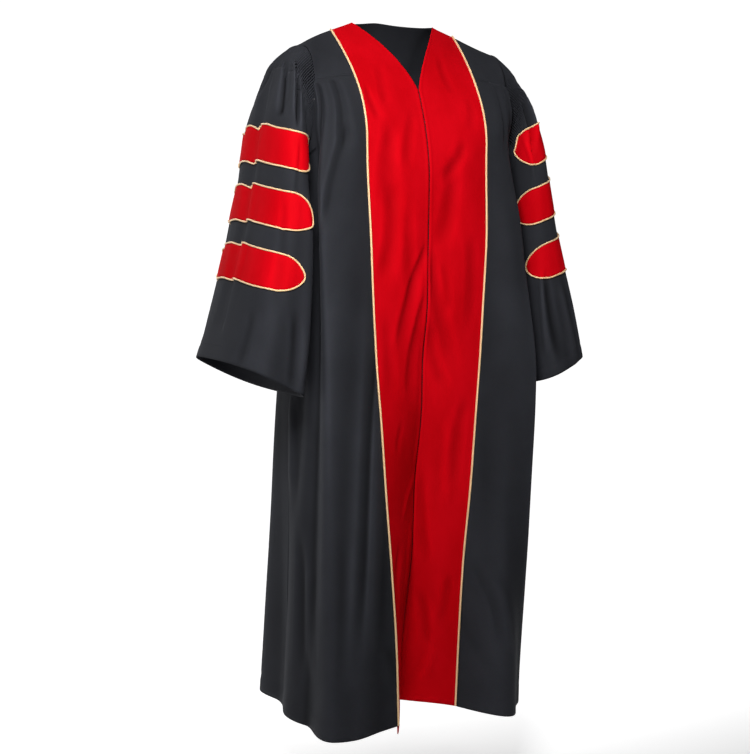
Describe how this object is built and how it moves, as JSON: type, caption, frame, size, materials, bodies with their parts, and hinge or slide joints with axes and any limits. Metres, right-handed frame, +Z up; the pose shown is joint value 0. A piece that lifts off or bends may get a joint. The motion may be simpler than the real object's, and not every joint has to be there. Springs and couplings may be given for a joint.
{
  "type": "graduation gown",
  "caption": "Doctoral graduation gown in black cloth with red velvet fronts, gold piping and bell sleeves with piped red bars, in its worn form with nobody in it.",
  "frame": {"origin": "midway between the two points where the neckline meets the shoulder line", "axes": "+Z up, the gown faces -Y, the wearer's left is at +X"},
  "size_m": [0.73, 0.4187, 1.2989],
  "materials": {
    "cloth": "matt black woven cloth with a fine weave and a slight sheen",
    "velvet": "bright red short-pile velvet",
    "piping": "gold braid over a cord",
    "zip_tape": "dark woven zip tape",
    "zip_slider": "dark painted metal"
  },
  "bodies": {
    "root": {"back_yoke": "cloth", "front_yoke_right": "cloth", "front_yoke_left": "cloth", "back_panel": "cloth", "front_panel_right": "cloth", "front_panel_left": "cloth", "facing_right": "velvet", "facing_left": "velvet", "front_piping_right": "piping", "front_piping_left": "piping", "sleeve_head_right": "cloth", "sleeve_head_left": "cloth", "sleeve_right": "cloth", "sleeve_left": "cloth", "bar_right_1": "velvet", "bar_right_2": "velvet", "bar_right_3": "velvet", "bar_left_1": "velvet", "bar_left_2": "velvet", "bar_left_3": "velvet", "bar_piping_right_1": "piping", "bar_piping_right_2": "piping", "bar_piping_right_3": "piping", "bar_piping_left_1": "piping", "bar_piping_left_2": "piping", "bar_piping_left_3": "piping", "zip_tape": "zip_tape", "zip_slider": "zip_slider"}
  },
  "joints": []
}
